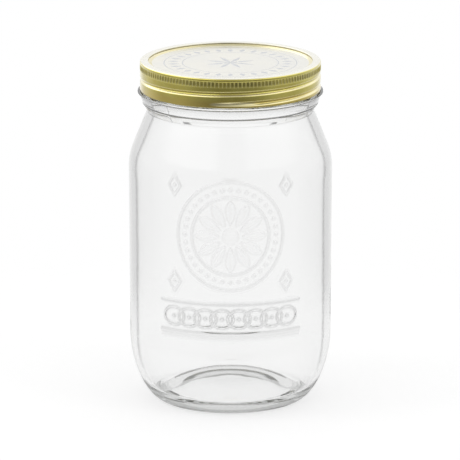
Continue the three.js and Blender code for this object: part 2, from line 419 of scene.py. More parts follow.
@dataclass(frozen=True)
class PrintedLacquer:
    """Tinplate disc under a thin gold lacquer, with a faint printed ring of lozenges round a star."""

    base: Colour = (0.76, 0.75, 0.70, 1.0)
    warm: Colour = (0.80, 0.78, 0.70, 1.0)
    gold: Colour = (0.79, 0.72, 0.44, 1.0)
    ink: Colour = (0.43, 0.46, 0.53, 1.0)
    ink_cover: Pair = (0.55, 0.8)
    step: Pair = (38.3 * MM, 38.7 * MM)
    top: Pair = (168.45 * MM, 168.5 * MM)
    rule_radii: Pair = (32.5 * MM, 23.5 * MM)
    rule_half: Pair = (0.125 * MM, 0.425 * MM)
    lozenges: int = 30
    lozenge_half: Pair = (1.5 * MM, 3.0 * MM)
    lozenge_edge: Pair = (0.93, 1.07)
    star_points: int = 8
    star_radius: float = 13 * MM
    star_slant: float = 2.3
    star_edge: Pair = (0.95, 1.0)
    star_ring: float = 3.9 * MM
    patch_size: float = 18 * MM
    patches: Pair = (0.3, 0.7)
    metal: Pair = (0.85, 0.35)
    roughness: Pair = (0.2, 0.3)
    ink_roughness: float = 0.12
    peel_size: float = 1.1 * MM
    peel_depth: float = 0.005 * MM

    def print_mask(self, graph: Graph, place: NodeSocket) -> Field:
        """Draws the print.

        Args:
            graph: The material's graph.
            place: Object coordinates.

        Returns:
            1 on the ink and 0 off it.
        """
        x, y, z = graph.axes(place)
        radius, angle = graph.radius(place), graph.math("ARCTAN2", y, x)
        outer, inner = (abs(radius - rule).fall(*self.rule_half) for rule in self.rule_radii)
        middle = sum(self.rule_radii) / 2
        across = abs(angle.repeat(self.lozenges)) * (TURN * middle / self.lozenges)
        wide, tall = self.lozenge_half
        lozenge = (across / wide + abs(radius - middle) / tall).fall(*self.lozenge_edge)
        ray = abs(angle.repeat(self.star_points)) * self.star_slant
        star = (radius / self.star_radius + ray).fall(*self.star_edge)
        split = abs(radius - self.star_ring).rise(*self.rule_half)
        return outer.most(inner).most(lozenge).most(star * split) * z.rise(*self.top)

    def make(self) -> Material:
        """Makes the material.

        Returns:
            The material.
        """
        made, graph = material("lacquered_disc")
        place = graph.place()
        patch = graph.noise(place, self.patch_size, 3.0)
        thin = graph.mix(patch.rise(*self.patches), self.base, self.warm)
        plain = graph.mix(graph.radius(place).rise(*self.step), thin, self.gold)
        ink = self.print_mask(graph, place) * patch.span(*self.ink_cover)
        inputs = {
            "Base Color": graph.mix(ink, plain, self.ink),
            "Metallic": ink.span(*self.metal),
            "Roughness": patch.span(*self.roughness) + self.ink_roughness * ink,
            "Coat Weight": 0.3,
            "Coat Roughness": 0.1,
            "Normal": graph.bump(graph.noise(place, self.peel_size, 2.0), self.peel_depth),
        }
        principled(graph, inputs)
        return made


@dataclass(frozen=True)
class SoftCompound:
    """Cast sealing compound: cream, matt and faintly mottled."""

    light: Colour = (0.68, 0.60, 0.46, 1.0)
    dark: Colour = (0.55, 0.47, 0.34, 1.0)
    patch_size: float = 4 * MM
    grain_size: float = 0.5 * MM
    grain_depth: float = 0.03 * MM
    roughness: Pair = (0.5, 0.7)

    def make(self) -> Material:
        """Makes the material.

        Returns:
            The material.
        """
        made, graph = material("sealing_compound")
        place = graph.place()
        grain = graph.noise(place, self.grain_size, 2.0)
        inputs = {
            "Base Color": graph.mix(graph.noise(place, self.patch_size, 3.0), self.dark, self.light),
            "Roughness": grain.span(*self.roughness),
            "Normal": graph.bump(grain, self.grain_depth),
        }
        principled(graph, inputs)
        return made


def arc(centre: Pair, reach: Pair, start: float, end: float) -> np.ndarray:
    """Draws an elliptical arc of a profile.

    Args:
        centre: Radius and height of its centre.
        reach: Its half axes across and up.
        start: First angle in degrees; 0 points away from the axis and 90 points up.
        end: Last angle in degrees.

    Returns:
        Rows of radius and height.
    """
    angle = np.radians(np.linspace(start, end, ARC_POINTS))
    return np.column_stack((centre[0] + reach[0] * np.cos(angle), centre[1] + reach[1] * np.sin(angle)))


def heel(floor: Pair, wall: Pair, fullness: float) -> np.ndarray:
    """Draws a rounded heel, a quarter of a superellipse.

    Args:
        floor: Radius and height where the flat floor ends.
        wall: Radius and height where the upright wall begins.
        fullness: Power of the superellipse; 2 is a plain ellipse.

    Returns:
        Rows of radius and height, upwards.
    """
    angle = np.linspace(0, TURN / 4, HEEL_POINTS)
    out = np.sin(angle) ** (2 / fullness)
    up = 1 - np.cos(angle).clip(0) ** (2 / fullness)
    return np.column_stack((floor[0] + (wall[0] - floor[0]) * out, floor[1] + (wall[1] - floor[1]) * up))


def dome(edge: float, low: float, rise: float, flatness: float) -> np.ndarray:
    """Draws a soft dome over the axis.

    Args:
        edge: Radius of its edge.
        low: Height of its edge.
        rise: Height of its middle above the edge.
        flatness: How far its flat middle reaches towards the edge; 2 is a plain hump.

    Returns:
        Rows of radius and height, inwards.
    """
    radius = np.linspace(edge, 0, DOME_POINTS)
    return np.column_stack((radius, low + rise * (1 - (radius / edge) ** flatness) ** 2))


def shoulder(wall: float, passing: Pair, lean: float, rounding: float) -> np.ndarray:
    """Draws the rounding from an upright wall into a shoulder that leans in.

    Args:
        wall: Radius of the wall.
        passing: Radius and height of a point on the shoulder.
        lean: The shoulder's angle from upright, in degrees.
        rounding: Radius of the rounding.

    Returns:
        Rows of radius and height, upwards.
    """
    knee = passing[1] - (wall - passing[0]) / math.tan(math.radians(lean))
    start = knee - rounding * math.tan(math.radians(lean / 2))
    return arc((wall - rounding, start), (rounding, rounding), 0, lean)


def lengths(rows: np.ndarray) -> np.ndarray:
    """Returns the distance along a profile at each of its rows."""
    return np.concatenate(([0], np.cumsum(np.hypot(*np.diff(rows, axis=0).T))))


def soften(rows: np.ndarray, spread: float, looped: bool) -> np.ndarray:
    """Rounds the corners of a profile.

    Args:
        rows: Radius and height of its points.
        spread: About the radius of the rounding.
        looped: True if the profile's end meets its start.

    Returns:
        Rows of radius and height, close together.
    """
    along = lengths(rows)
    spacing = spread / 4
    even = np.linspace(0, along[-1], int(along[-1] / spacing) + 1)
    fine = np.column_stack([np.interp(even, along, rows[:, k]) for k in (0, 1)])
    reach = 8
    weight = np.exp(-0.5 * (np.arange(-reach, reach + 1) / (reach / 3)) ** 2)
    weight /= weight.sum()
    if looped:
        padded = np.vstack((fine[-reach - 1:-1], fine, fine[1:reach + 1]))
    else:
        head = 2 * fine[0] - fine[reach:0:-1]
        tail = 2 * fine[-1] - fine[-2:-reach - 2:-1]
        padded = np.vstack((head, fine, tail))
    return np.column_stack([np.convolve(padded[:, k], weight, "valid") for k in (0, 1)])


def pace(rows: np.ndarray, step: np.ndarray | float, bend: float) -> np.ndarray:
    """Picks the rows that a mesh needs: close together round bends, further apart elsewhere.

    Args:
        rows: Radius and height, close together.
        step: The longest step, for the whole profile or for each row.
        bend: The largest turn between two rows, in degrees.

    Returns:
        The picked rows.
    """
    away = np.diff(rows, axis=0)
    heading = np.unwrap(np.arctan2(away[:, 1], away[:, 0]))
    turn = np.abs(np.diff(heading, prepend=heading[0]))
    limit = np.broadcast_to(np.asarray(step, float), (len(rows),))[1:]
    cost = np.concatenate(([0], np.cumsum(np.hypot(*away.T) / limit + turn / math.radians(bend))))
    wanted = np.linspace(0, cost[-1], math.ceil(cost[-1]) + 1)
    return np.column_stack([np.interp(wanted, cost, rows[:, k]) for k in (0, 1)])


def turned_mesh(
    name: str, radius: np.ndarray, height: np.ndarray, angles: np.ndarray, looped: bool
) -> Mesh:
    """Makes a mesh from a grid of rows round the axis.

    Args:
        name: The mesh's name.
        radius: Radius of each row at each angle, or one column for all angles.
        height: Height of each row.
        angles: Angles of the columns.
        looped: True if the last row is the first one again; otherwise both ends lie on the axis.

    Returns:
        A closed, smooth mesh that faces outwards.
    """
    ends = [(0.0, 0.0, float(height[0])), (0.0, 0.0, float(height[-1]))]
    kept = slice(0, -1) if looped else slice(1, -1)
    radius, height = np.broadcast_to(radius, (len(height), len(angles)))[kept], height[kept]
    z = np.broadcast_to(height[:, None], radius.shape)
    points = np.stack((radius * np.sin(angles), -radius * np.cos(angles), z), axis=-1).reshape(-1, 3).tolist()
    grid = np.arange(radius.size).reshape(radius.shape)
    below = grid if looped else grid[:-1]
    above = np.roll(grid, -1, axis=0) if looped else grid[1:]
    after, beyond = np.roll(below, -1, axis=1), np.roll(above, -1, axis=1)
    faces = np.stack((below, after, beyond, above), axis=-1).reshape(-1, 4).tolist()
    if not looped:
        bottom, top = len(points), len(points) + 1
        points += ends
        for left, right in zip(grid[0].tolist(), np.roll(grid[0], -1).tolist()):
            faces.append([bottom, right, left])
        for left, right in zip(grid[-1].tolist(), np.roll(grid[-1], -1).tolist()):
            faces.append([left, right, top])
    made = bpy.data.meshes.new(name)
    made.from_pydata(points, [], faces)
    made.polygons.foreach_set("use_smooth", [True] * len(made.polygons))
    made.update()
    return made


def mark(made: Mesh, name: str, values: np.ndarray) -> None:
    """Gives each point of a turned mesh with its ends on the axis a value.

    Args:
        made: The mesh.
        name: Name of the new attribute.
        values: The values of all rows and columns.
    """
    marks = made.attributes.new(name, "FLOAT", "POINT")
    ends = (values[0, 0], values[-1, 0])
    marks.data.foreach_set("value", np.append(values[1:-1].ravel(), ends).astype(np.float32))


def piece(mesh: Mesh, finish: Material, body: Body, node: str | None) -> None:
    """Puts a mesh on its body.

    Args:
        mesh: The piece's mesh, in place.
        finish: Its material.
        body: The body that it rides on.
        node: The CAD node that it stands for, if any.
    """
    made = bpy.data.objects.new(mesh.name, mesh)
    bpy.context.scene.collection.objects.link(made)
    if not mesh.materials:
        mesh.materials.append(finish)
    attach(made, body.value)
    if node:
        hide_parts(node)
    LOG.info("%s: %d faces on %s", made.name, len(mesh.polygons), body.value)


@dataclass(frozen=True)
class Thread:
    """A helical ridge that fades in and out at its ends."""

    at_front: float
    width: float
    rise: float
    start: float
    end: float
    pitch: float
    runout: float = math.radians(35)

    def shift(self, angle: np.ndarray, z: np.ndarray) -> np.ndarray:
        """Gives the ridge's height.

        Args:
            angle: Angles round the axis.
            z: Heights, broadcast against the angles.

        Returns:
            How far the wall moves outwards.
        """
        total = np.zeros(np.broadcast_shapes(angle.shape, z.shape))
        for turn in range(math.floor(self.start / TURN) - 1, math.ceil(self.end / TURN) + 2):
            along = angle + turn * TURN
            offset = z - self.at_front - self.pitch * along / TURN
            fade_in = np.clip((along - self.start) / self.runout, 0, 1)
            fade_out = np.clip((self.end - along) / self.runout, 0, 1)
            crest = np.cos(np.clip(offset / self.width, -0.5, 0.5) * math.pi) ** 2
            total = np.maximum(total, crest * fade_in * fade_out)
        return self.rise * total


@dataclass(frozen=True)
class Closure:
    """Sizes that the jar's finish, the disc, the ring and the band share."""

    band_radius: float
    skirt_bottom: float
    band_top: float
    rim: float
    sheet: float = 0.4 * MM
    flange_width: float = 4.1 * MM
    knurl_drop: float = 1.3 * MM
    knurl_height: float = 3.3 * MM
    pitch: float = 5.0 * MM
    depth: float = 1.15 * MM
    crest_gap: float = 0.6 * MM
    flank_gap: float = 0.3 * MM
    band_ridge: float = 2.8 * MM
    glass_ridge: float = 3.2 * MM
    start_rise: float = 1.9 * MM
    start_angle: float = math.radians(-15)
    finish_height: float = 12.4 * MM
    lip: float = 1.0 * MM

    @classmethod
    def from_frame(cls) -> "Closure":
        """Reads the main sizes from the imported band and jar."""
        low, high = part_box("screw_band")
        return cls(high.x, low.z, high.z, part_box("glass_jar")[1].z)

    @property
    def bore(self) -> float:
        """Inside radius of the band."""
        return self.band_radius - self.sheet

    @property
    def finish_radius(self) -> float:
        """Radius of the glass at the foot of its thread."""
        return self.bore - self.crest_gap - self.depth

    @property
    def flange_radius(self) -> float:
        """Radius of the band's top opening."""
        return self.band_radius - self.flange_width

    @property
    def knurl_bottom(self) -> float:
        """Height of the knurl's lower end."""
        return self.band_top - self.knurl_drop - self.knurl_height

    @property
    def bead_top(self) -> float:
        """Height of the glass bead under the band."""
        return self.rim - self.finish_height

    def angle_at(self, at_front: float, z: float) -> float:
        """Returns the angle at which a ridge reaches a height."""
        return (z - at_front) / self.pitch * TURN

    def band_thread(self) -> Thread:
        """Lays out the thread rolled into the band.

        Returns:
            The thread.
        """
        front = self.skirt_bottom + self.start_rise
        end = self.angle_at(front, self.knurl_bottom - self.band_ridge / 2)
        return Thread(front, self.band_ridge, -self.depth, self.start_angle, end, self.pitch)

    def glass_thread(self) -> Thread:
        """Lays out the thread on the glass, which lies just above the band's.

        Returns:
            The thread.
        """
        apart = (self.band_ridge + self.glass_ridge) / 6 + self.flank_gap
        front = self.skirt_bottom + self.start_rise + apart
        start = self.angle_at(front, self.bead_top + self.glass_ridge / 2)
        end = self.angle_at(front, self.rim - self.lip - self.glass_ridge / 2)
        return Thread(front, self.glass_ridge, self.depth, start, end, self.pitch)


@dataclass(frozen=True)
class FrontRelief:
    """Raised ornament on the front: a rosette in a beaded ring, corner lozenges and a chain of ovals."""

    height: float = 0.7 * MM
    line: float = 0.75 * MM
    line_power: float = 1.5
    middle: float = 93 * MM
    ring: float = 27 * MM
    beads: int = 36
    bead_ring: float = 23.2 * MM
    bead: float = 1.15 * MM
    inner_ring: float = 19.4 * MM
    petals: int = 12
    petal_from: float = 5.4 * MM
    petal_to: float = 18 * MM
    petal_half: float = 3.1 * MM
    petal_powers: Pair = (1.25, 0.75)
    petal_edge: float = 2.2
    petal_height: float = 0.9
    vein_depth: float = 0.35
    vein_half: float = 0.6 * MM
    hub: float = 4.2 * MM
    corner: Pair = (29 * MM, 24 * MM)
    corner_half: Pair = (3.4 * MM, 5.0 * MM)
    chain: float = 51.5 * MM
    oval_half: Pair = (5.6 * MM, 4.4 * MM)
    oval_step: float = 8.4 * MM
    ovals: int = 8
    rule_gap: float = 7.4 * MM
    rule_past_ovals: float = 3.36 * MM
    steepest: float = 1.0
    side_from: float = 34 * MM
    side_to: float = 47 * MM

    @property
    def chain_top(self) -> float:
        """Height of the top of the chain of ovals and its rules."""
        return self.chain + self.rule_gap + self.line

    def bar(self, distance: np.ndarray) -> np.ndarray:
        """Returns a rounded ridge along distance 0."""
        return np.clip(1 - (distance / self.line) ** 2, 0, 1) ** self.line_power

    def dot(self, distance: np.ndarray) -> np.ndarray:
        """Returns a round bead about distance 0."""
        return np.clip(1 - (distance / self.bead) ** 2, 0, 1)

    def from_cell(self, angle: np.ndarray, count: int) -> np.ndarray:
        """Returns the angle from the middle of the nearest of count equal cells of a turn."""
        cell = TURN / count
        return (angle + cell / 2) % cell - cell / 2

    def rosette(self, x: np.ndarray, y: np.ndarray) -> np.ndarray:
        """Draws the rosette and its rings.

        Args:
            x: Distance to the right of its middle.
            y: Distance above its middle.

        Returns:
            Height from 0 to 1.
        """
        radius, angle = np.hypot(x, y), np.arctan2(y, x)
        bead = self.dot(np.hypot(radius - self.bead_ring, self.from_cell(angle, self.beads) * self.bead_ring))
        share = np.clip((radius - self.petal_from) / (self.petal_to - self.petal_from), 0, 1)
        lean, swell = self.petal_powers
        wide = self.petal_half * np.sin(math.pi * share ** lean) ** swell
        side = np.abs(self.from_cell(angle, self.petals)) * radius
        inside = np.clip(1 - side / np.maximum(wide, TINY), 0, 1)
        vein = 1 - self.vein_depth * np.exp(-(side / self.vein_half) ** 2)
        petal = self.petal_height * np.clip(inside * self.petal_edge, 0, 1) * vein * (wide > TINY)
        hub = np.clip(1 - (radius / self.hub) ** 2, 0, 1) ** 0.5
        rings = np.maximum(self.bar(radius - self.ring), self.bar(radius - self.inner_ring))
        return np.maximum.reduce((rings, bead, petal, hub))

    def chain_of_ovals(self, x: np.ndarray, y: np.ndarray) -> np.ndarray:
        """Draws linked ovals between two rules.

        Args:
            x: Distance to the right of its middle.
            y: Distance above its middle.

        Returns:
            Height from 0 to 1.
        """
        half = self.ovals * self.oval_step / 2
        over = np.clip(np.abs(x) - half - self.rule_past_ovals, 0, None)
        drawn = [self.bar(np.hypot(np.abs(y) - self.rule_gap, over))]
        wide, tall = self.oval_half
        for index in range(self.ovals):
            place = x - ((index + 0.5) * self.oval_step - half)
            share = np.hypot(place / wide, y / tall)
            slope = np.hypot(place / wide ** 2, y / tall ** 2) / np.maximum(share, TINY)
            drawn += [self.bar((share - 1) / np.maximum(slope, TINY)), self.dot(np.hypot(place, y))]
        return np.maximum.reduce(drawn)

    def corners(self, x: np.ndarray, y: np.ndarray) -> np.ndarray:
        """Draws the four corner lozenges.

        Args:
            x: Distance to the right of the rosette's middle.
            y: Distance above it.

        Returns:
            Height from 0 to 1.
        """
        right, up = np.abs(x) - self.corner[0], np.abs(y) - self.corner[1]
        wide, tall = self.corner_half
        edge = (np.abs(right) / wide + np.abs(up) / tall - 1) * (wide * tall / math.hypot(wide, tall))
        return np.maximum(self.bar(edge), self.dot(np.hypot(right, up)))

    def shape(self, across: np.ndarray, up: np.ndarray) -> np.ndarray:
        """Draws the whole ornament.

        Args:
            across: Distance round the front, to the right.
            up: Height above the table.

        Returns:
            How far the glass stands out.
        """
        above = up - self.middle
        drawn = (self.rosette(across, above), self.corners(across, above))
        return self.height * np.maximum.reduce((*drawn, self.chain_of_ovals(across, up - self.chain)))

    def set_back(self, radius: np.ndarray, most: float, across: np.ndarray) -> np.ndarray:
        """Sets the front back where the ornament would stand out past the widest radius.

        Args:
            radius: The plain radius of each row, as a column.
            most: The widest radius.
            across: Distance round the front.

        Returns:
            How far the ground moves inwards.
        """
        share = np.clip((self.side_to - np.abs(across)) / (self.side_to - self.side_from), 0, 1)
        return np.clip(radius - (most - self.height), 0, None) * share * share * (3 - 2 * share)


@dataclass
class GlassJar:
    """The moulded jar: base, body, shoulder, neck ring, bead and threaded finish in one glass."""

    closure: Closure
    finish: ClearGlass
    relief: FrontRelief = field(default_factory=FrontRelief)
    draft: float = 0.5 * MM
    wall: float = 3.2 * MM
    foot_radius: float = 33.5 * MM
    foot_width: float = 3.5 * MM
    punt: float = 6.5 * MM
    floor_thickness: float = 5.0 * MM
    floor_radius: float = 36 * MM
    floor_dip: float = 5.5 * MM
    flatness: float = 5.0
    heel_height: float = 32.7 * MM
    heel_fullness: float = 1.75
    inner_fullness: float = 1.8
    shoulder_angle: float = 22.2
    shoulder_radius: float = 28 * MM
    neck_radius: float = 43 * MM
    neck_flare: float = 1.6 * MM
    neck_height: float = 8.8 * MM
    neck_chamfer: float = 3.8 * MM
    pinch: float = 2.2 * MM
    throat_taper: Pair = (9, 14)
    bead: float = 0.5 * MM
    bead_past_band: float = 1.2 * MM
    finish_wall: float = 3.6 * MM
    softness: float = 0.3 * MM
    relief_step: float = 0.55 * MM
    thread_step: float = 0.5 * MM
    parting_step: float = 0.1 * MM
    plain_step: float = 3 * MM
    bend: float = 9
    front_reach: float = math.radians(44)
    front_step: float = math.radians(0.55)
    back_step: float = math.radians(3.6)
    least_step: float = math.radians(0.12)
    seam_angle: float = math.radians(-44)
    seam_half: float = 0.45 * MM
    seam_height: float = 0.16 * MM
    seam_columns: tuple[float, ...] = (-1.5, -0.75, 0, 0.75, 1.5)
    parting_rise: float = 3.9 * MM
    parting_half: float = 0.3 * MM
    parting_zone: float = 0.45 * MM
    parting_height: float = 0.15 * MM
    thread_clear: float = 0.1 * MM
    wave: float = 0.1 * MM
    wave_level: Pair = (0.8, 0.5)
    wave_fade: Pair = (20 * MM, 15 * MM)
    slow_swell: Pair = (2, 40)
    fast_swell: Pair = (5, -70)
    fast_phase: float = 1.0
    fast_share: float = 0.3
    # Strength of the shade painted on the ornament's slopes, below and above the top of the chain.
    flank_shade_weights: Pair = (0.85, 0.4)

    def __post_init__(self) -> None:
        """Takes the body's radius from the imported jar."""
        self.body_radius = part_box("glass_jar")[1].x

    @property
    def bead_middle(self) -> float:
        """Height of the bead's middle."""
        return self.closure.bead_top - self.bead

    @property
    def crease_z(self) -> float:
        """Height of the crease under the bead."""
        return self.bead_middle - self.bead

    @property
    def pinch_point(self) -> Pair:
        """Radius and height of the pinch under the neck ring."""
        return self.neck_radius - self.pinch, self.crease_z - self.neck_height

    @property
    def parting_z(self) -> float:
        """Height of the mould parting line round the neck ring."""
        return self.pinch_point[1] + self.parting_rise

    def outside(self) -> np.ndarray:
        """Draws the outside.

        Returns:
            The profile from the middle of the base up to the top of the rim.
        """
        shared = self.closure
        pinch_radius, pinch_z = self.pinch_point
        body = self.body_radius
        bead_middle = shared.band_radius + self.bead_past_band - self.bead
        lip_z = shared.rim - shared.lip
        return np.vstack((
            dome(self.foot_radius - self.foot_width, 0, self.punt, self.flatness)[::-1],
            heel((self.foot_radius, 0), (body - self.draft, self.heel_height), self.heel_fullness),
            shoulder(body, self.pinch_point, self.shoulder_angle, self.shoulder_radius),
            [[pinch_radius, pinch_z], [self.neck_radius, pinch_z + self.neck_chamfer]],
            [[self.neck_radius + self.neck_flare, self.crease_z]],
            arc((bead_middle, self.bead_middle), (self.bead, self.bead), -60, 90),
            [[shared.finish_radius, shared.bead_top]],
            arc((shared.finish_radius - shared.lip, lip_z), (shared.lip, shared.lip), 0, 90),
        ))

    def inside(self) -> np.ndarray:
        """Draws the inside.

        Returns:
            The profile from the top of the rim down to the middle of the floor.
        """
        shared = self.closure
        pinch_z = self.pinch_point[1]
        bore = shared.finish_radius - self.finish_wall
        waist_z = pinch_z + self.neck_chamfer
        upper, lower = (math.tan(math.radians(angle)) for angle in self.throat_taper)
        waist = bore - upper * (self.bead_middle - waist_z)
        throat = waist - lower * self.neck_chamfer
        inner = self.body_radius - self.wall
        floor = (self.floor_radius, self.punt + self.floor_thickness - self.floor_dip)
        rounding = self.shoulder_radius - self.wall
        return np.vstack((
            arc((bore + shared.lip, shared.rim - shared.lip), (shared.lip, shared.lip), 90, 180),
            [[bore, self.bead_middle], [waist, waist_z], [throat, pinch_z]],
            shoulder(inner, (throat, pinch_z), self.shoulder_angle, rounding)[::-1],
            heel(floor, (inner - self.draft, self.heel_height), self.inner_fullness)[::-1],
            dome(*floor, self.floor_dip, self.flatness),
        ))

    def rows(self) -> np.ndarray:
        """Picks the mesh's rows, close together at the ornament, the parting line and the thread.

        Returns:
            Radius and height from the middle of the base round to the middle of the floor.
        """
        rows = soften(np.vstack((self.outside(), self.inside())), self.softness, False)
        rows[:, 1] = np.clip(rows[:, 1], 0, None)
        radius, z = rows.T
        outer = np.arange(len(rows)) <= int(np.argmax(z))
        low = self.relief.chain - self.relief.rule_gap - self.relief.line
        high = self.relief.middle + self.relief.ring + self.relief.line
        adorned = outer & (z > low) & (z < high) & (radius > self.foot_radius)
        step = np.where(adorned, self.relief_step, self.plain_step)
        step = np.where(outer & (z > self.closure.bead_top), self.thread_step, step)
        parting = outer & (np.abs(z - self.parting_z) < self.parting_zone)
        return pace(rows, np.where(parting, self.parting_step, step), self.bend)

    def columns(self) -> np.ndarray:
        """Picks the mesh's columns, close together over the front and at the two mould seams.

        Returns:
            Their angles.
        """
        front = np.arange(-self.front_reach, self.front_reach, self.front_step)
        back = np.arange(self.front_reach, TURN - self.front_reach, self.back_step)
        width = self.seam_half / self.body_radius
        seams = [self.seam_angle + half + width * k for half in (0, TURN / 2) for k in self.seam_columns]
        angles = np.sort(np.concatenate((front, back, seams)) % TURN)
        return angles[np.diff(angles, append=angles[0] + TURN) > self.least_step]

    def seam(self, angles: np.ndarray) -> np.ndarray:
        """Returns the height of the two mould seams at each angle."""
        away = np.abs((angles - self.seam_angle + TURN / 4) % (TURN / 2) - TURN / 4) * self.body_radius
        return self.seam_height * np.clip(1 - (away / self.seam_half) ** 2, 0, 1)

    def waviness(self, angle: np.ndarray, z: np.ndarray) -> np.ndarray:
        """Gives the slow waves that blowing leaves inside the wall.

        Args:
            angle: Angles round the axis.
            z: Heights, broadcast against the angles.

        Returns:
            How far the inside moves outwards.
        """
        above_floor, below_pinch = self.wave_fade
        reach = np.clip((z - self.floor_thickness - self.punt) / above_floor, 0, 1)
        reach = reach * np.clip((self.pinch_point[1] - z) / below_pinch, 0, 1)
        slow = np.sin(self.slow_swell[0] * angle + self.slow_swell[1] * z)
        fast = np.sin(self.fast_swell[0] * angle + self.fast_swell[1] * z + self.fast_phase)
        level, share = self.wave_level
        return -self.wave * (level + share * (slow + self.fast_share * fast)) * reach

    def flank_shade(self, raised: np.ndarray, rows: np.ndarray, angles: np.ndarray) -> np.ndarray:
        """Finds the slopes of the ornament, on which shade is painted.

        Args:
            raised: Height of the ornament in each row and column.
            rows: Radius and height of the rows.
            angles: Angles of the columns.

        Returns:
            How dark the painted shade is at each point, from 0 to 1.
        """
        up = np.gradient(raised, lengths(rows), axis=0)
        around = np.gradient(raised, angles * self.body_radius, axis=1)
        tint = np.where(rows[:, 1:] < self.relief.chain_top, *self.flank_shade_weights)
        return np.clip(np.hypot(up, around) / self.relief.steepest, 0, 1) * tint

    def mesh(self) -> Mesh:
        """Builds the glass as one closed surface.

        Returns:
            The jar's mesh.
        """
        shared = self.closure
        rows, angles = self.rows(), self.columns()
        radius, z = rows[:, :1], rows[:, 1:]
        outer = (np.arange(len(rows)) <= int(np.argmax(rows[:, 1])))[:, None]
        signed = ((angles + math.pi) % TURN - math.pi)[None, :]
        across = signed * self.body_radius
        pinch_z = self.pinch_point[1]
        walls = outer & (z > self.heel_height) & (z < pinch_z)
        ground = self.relief.set_back(radius, self.body_radius, across) * walls
        raised = self.relief.shape(across, z) * walls
        necked = outer & (z > pinch_z) & (z < self.crease_z)
        seam = np.minimum(self.seam(angles)[None, :] * necked, np.clip(self.body_radius - radius, 0, None))
        threaded = outer & (z > shared.bead_top + self.thread_clear)
        thread = shared.glass_thread().shift(signed, z) * threaded
        wave = np.where(outer, 0, self.waviness(signed, z))
        away = np.abs(z - self.parting_z) / self.parting_half
        parting = self.parting_height * np.clip(1 - away, 0, 1) * (outer & (radius < self.body_radius))
        full = radius - ground + raised + seam + parting + thread + wave
        made = turned_mesh("jar_glass", full, rows[:, 1], angles, False)
        # Marks the inside wall and the ornament's slopes for the glass's painted shade.
        mark(made, INSIDE, np.repeat(~outer, len(angles), axis=1))
        mark(made, FLANK_SHADE, self.flank_shade(raised, rows, angles))
        return made

    def build(self) -> None:
        """Builds the jar and dresses it in glass."""
        glass = self.finish.make(self.parting_z, self.crease_z)
        piece(self.mesh(), glass, Body.JAR, "glass_jar")


@dataclass
class SealedDisc:
    """The disc that closes the mouth, with the ring of sealing compound under its rim."""

    closure: Closure
    finish: PrintedLacquer
    compound: SoftCompound
    sheet: float = 0.3 * MM
    edge_drop: float = 1.4 * MM
    panel_depth: float = 0.7 * MM
    step_inset: float = 1.0 * MM
    step_run: float = 0.8 * MM
    edge_gap: float = 0.35 * MM
    softness: float = 0.16 * MM
    row_step: float = 4 * MM
    ring_inset: float = 0.3 * MM
    ring_round: float = 0.3 * MM
    ring_softness: float = 0.2 * MM
    ring_step: float = 1 * MM
    bond_gap: float = 0.1 * MM
    groove: Pair = (0.9 * MM, 0.12 * MM)
    bend: float = 14
    columns: int = 144

    @property
    def angles(self) -> np.ndarray:
        """Angles of the columns."""
        return np.arange(self.columns) * TURN / self.columns

    @property
    def step_radius(self) -> float:
        """Radius of the top of the step round the panel."""
        return self.closure.flange_radius - self.step_inset

    @property
    def edge_bore(self) -> float:
        """Inside radius of the turned-down edge."""
        return self.closure.finish_radius + self.edge_gap

    def disc_mesh(self) -> Mesh:
        """Builds the disc, from the middle of its underside round its edge to the middle of its top.

        Returns:
            The disc's mesh.
        """
        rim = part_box("lid_disc")[1].z - self.sheet
        panel = rim - self.panel_depth
        step, bore = self.step_radius, self.edge_bore
        inner, half = step - self.step_run, self.sheet / 2
        low = rim - self.edge_drop
        rows = np.vstack((
            [[0, panel], [inner, panel], [step, rim], [bore, rim], [bore, low]],
            arc((bore + half, low + half), (half, half), 180, 360),
            [[bore + self.sheet, rim]],
            arc((bore, rim), (self.sheet, self.sheet), 0, 90),
            [[step, rim + self.sheet], [inner, panel + self.sheet], [0, panel + self.sheet]],
        ))
        picked = pace(soften(rows, self.softness, False), self.row_step, self.bend)
        return turned_mesh("disc_panel", picked[:, :1], picked[:, 1], self.angles, False)

    def ring_mesh(self) -> Mesh:
        """Builds the ring, with the shallow groove that the glass rim leaves in it.

        Returns:
            The ring's mesh.
        """
        low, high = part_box("sealing_ring")
        inner = self.step_radius + self.ring_inset
        outer = self.edge_bore - self.bond_gap
        soft = self.ring_round
        start = [inner, high.z]
        rows = np.vstack((
            [start],
            arc((inner + soft, low.z + soft), (soft, soft), 180, 270),
            arc(((inner + outer) / 2, low.z), self.groove, 180, 0),
            arc((outer - soft, low.z + soft), (soft, soft), 270, 360),
            [[outer, high.z], start],
        ))
        picked = pace(soften(rows, self.ring_softness, True), self.ring_step, self.bend)
        return turned_mesh("disc_seal", picked[:, :1], picked[:, 1], self.angles, True)

    def build(self) -> None:
        """Builds the disc and its ring and dresses them."""
        piece(self.disc_mesh(), self.finish.make(), Body.LID, "lid_disc")
        piece(self.ring_mesh(), self.compound.make(), Body.LID, "sealing_ring")


